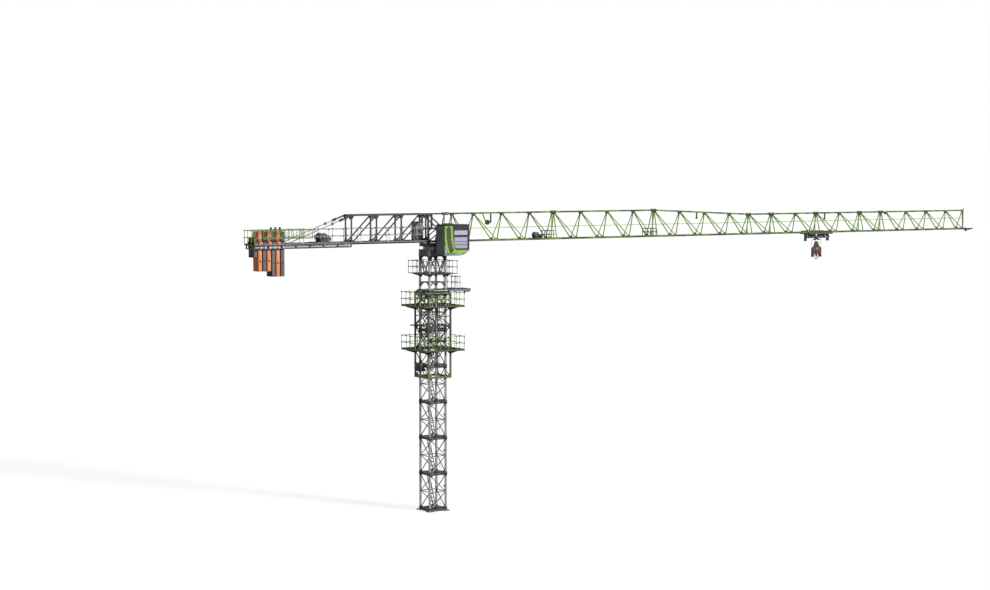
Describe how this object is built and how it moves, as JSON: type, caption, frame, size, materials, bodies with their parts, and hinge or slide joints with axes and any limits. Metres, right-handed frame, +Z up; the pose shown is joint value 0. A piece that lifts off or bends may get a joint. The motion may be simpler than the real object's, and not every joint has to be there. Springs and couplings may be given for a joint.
{
  "type": "flat-top tower crane, 1:2 scale model",
  "caption": "Flat-top tower crane as a 1:2 model: lattice mast with climbing cage, slewing jib and counter-jib, travelling trolley and hook block.",
  "frame": {"origin": "on the ground, at the centre of the base frame's underside, on the mast's axis", "axes": "+Z up along the mast, +X out along the jib, +Y to the left of someone who looks along the jib"},
  "size_m": [36.34, 2.115, 11.6135],
  "materials": {
    "mast_grey": "satin grey paint",
    "dark_steel": "dark grey paint",
    "cage_olive": "dark olive paint",
    "lime_green": "lime green paint",
    "pale_grey": "pale grey paint",
    "cylinder_steel": "pale lavender grey paint and bright rod",
    "ring_steel": "machined, oiled",
    "orange_block": "orange paint",
    "grey_block": "grey paint",
    "cab_panel": "dark grey panels",
    "rope_steel": "greased wire rope",
    "sheave_plastic": "cast nylon",
    "block_red": "dark red paint",
    "hook_steel": "forged, painted pale",
    "tinted_glass": "pale tinted glass"
  },
  "bodies": {
    "tower": {"base_frame": "mast_grey", "mast_section_1": "mast_grey", "mast_section_2": "mast_grey", "mast_section_3": "mast_grey", "mast_section_4": "mast_grey", "mast_section_5": "mast_grey", "mast_section_6": "mast_grey", "mast_ladders": "dark_steel", "climbing_cage": "cage_olive", "guide_rollers": "dark_steel", "cage_decks": "cage_olive", "cage_railings": "lime_green", "climbing_cylinder": "cylinder_steel", "power_pack": "dark_steel", "feed_beams": "pale_grey", "feed_platform": "pale_grey", "slewing_support": "mast_grey", "support_deck": "pale_grey", "support_railing": "pale_grey", "slewing_ring_fixed": "ring_steel"},
    "slewing_upper": {"slewing_ring_turning": "ring_steel", "turntable": "dark_steel", "tower_head": "dark_steel", "jib_section_1": "lime_green", "jib_section_2": "lime_green", "jib_section_3": "lime_green", "jib_section_4": "lime_green", "jib_section_5": "lime_green", "jib_section_6": "lime_green", "jib_section_7": "lime_green", "jib_section_8": "lime_green", "trolley_winch": "dark_steel", "rope_guides": "dark_steel", "jib_platforms": "dark_steel", "counter_jib_truss": "dark_steel", "counter_jib_deck": "dark_steel", "tie_bars": "dark_steel", "counter_jib_walkways": "dark_steel", "counter_jib_railing": "pale_grey", "sign_frames": "lime_green", "electrical_cabinet": "dark_steel", "counterweights_orange": "orange_block", "counterweights_grey": "grey_block", "hoist_winch": "dark_steel", "cab_body": "cab_panel", "cab_windows": "tinted_glass"},
    "trolley": {"trolley_frame": "dark_steel", "trolley_wheels": "dark_steel", "trolley_sheaves": "sheave_plastic", "rope_falls": "rope_steel"},
    "hook_block": {"hook_block": "block_red", "block_sheaves": "sheave_plastic"},
    "hook": {"hook": "hook_steel"}
  },
  "joints": [
    {"name": "slew", "type": "hinge", "parent": "tower", "child": "slewing_upper", "pos_m": [0, 0, 10.3205], "axis": [0, 0, 1], "continuous": true},
    {"name": "trolley_travel", "type": "slide", "parent": "slewing_upper", "child": "trolley", "axis": [1, 0, 0], "range_m": [-17, 8]},
    {"name": "hoist", "type": "slide", "parent": "trolley", "child": "hook_block", "axis": [0, 0, -1], "range_m": [0, 8.9], "deforming": ["rope_falls"]},
    {"name": "hook_swivel", "type": "hinge", "parent": "hook_block", "child": "hook", "pos_m": [19.4, 0, 9.5355], "axis": [0, 0, 1], "continuous": true}
  ]
}
